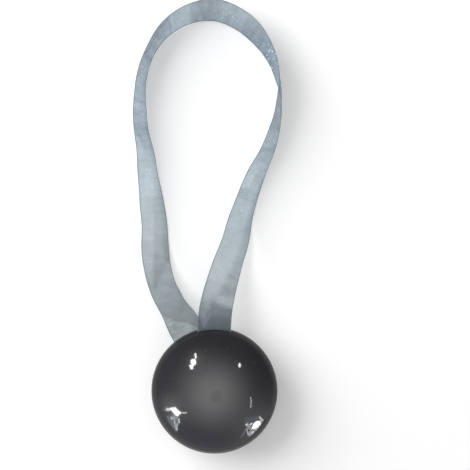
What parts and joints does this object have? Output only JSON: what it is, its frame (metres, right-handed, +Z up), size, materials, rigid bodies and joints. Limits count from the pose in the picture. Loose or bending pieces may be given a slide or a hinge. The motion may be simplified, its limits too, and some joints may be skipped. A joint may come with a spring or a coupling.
{
  "type": "magnetic curtain tieback",
  "caption": "Magnetic curtain tieback: glossy dark domed halves that snap together into a flattened ball, joined by a half-twisted loop of sheer ribbon.",
  "frame": {"origin": "on the surface that the tieback lies on, under the middle of its overall box", "axes": "+Z up along the ball's axis, +Y from the ball towards the top of the ribbon loop, +X to the right seen from above"},
  "size_m": [0.0532, 0.1624, 0.0231],
  "materials": {
    "dome_gloss": "polished dark charcoal",
    "face_plate_matte": "fine satin black",
    "magnet_nickel": "nickel plated",
    "keeper_steel": "zinc plated, satin",
    "ribbon_organza": "sheer blue-grey organza"
  },
  "bodies": {
    "ribbon": {"ribbon_loop": "ribbon_organza"},
    "back_half": {"back_dome": "dome_gloss", "back_face_plate": "face_plate_matte", "back_magnet": "magnet_nickel", "back_keeper": "keeper_steel", "back_ribbon_end": "ribbon_organza"},
    "front_half": {"front_dome": "dome_gloss", "front_face_plate": "face_plate_matte", "front_magnet": "magnet_nickel", "front_keeper": "keeper_steel", "front_ribbon_end": "ribbon_organza"}
  },
  "joints": [
    {"name": "half_swivel", "type": "hinge", "parent": "ribbon", "child": "back_half", "pos_m": [0.00231, -0.05874, 0.0115], "axis": [0, 0, 1], "range_deg": [-25, 30]},
    {"name": "pull_apart", "type": "slide", "parent": "ribbon", "child": "front_half", "axis": [0, 0, 1], "range_m": [0, 0.03]}
  ]
}
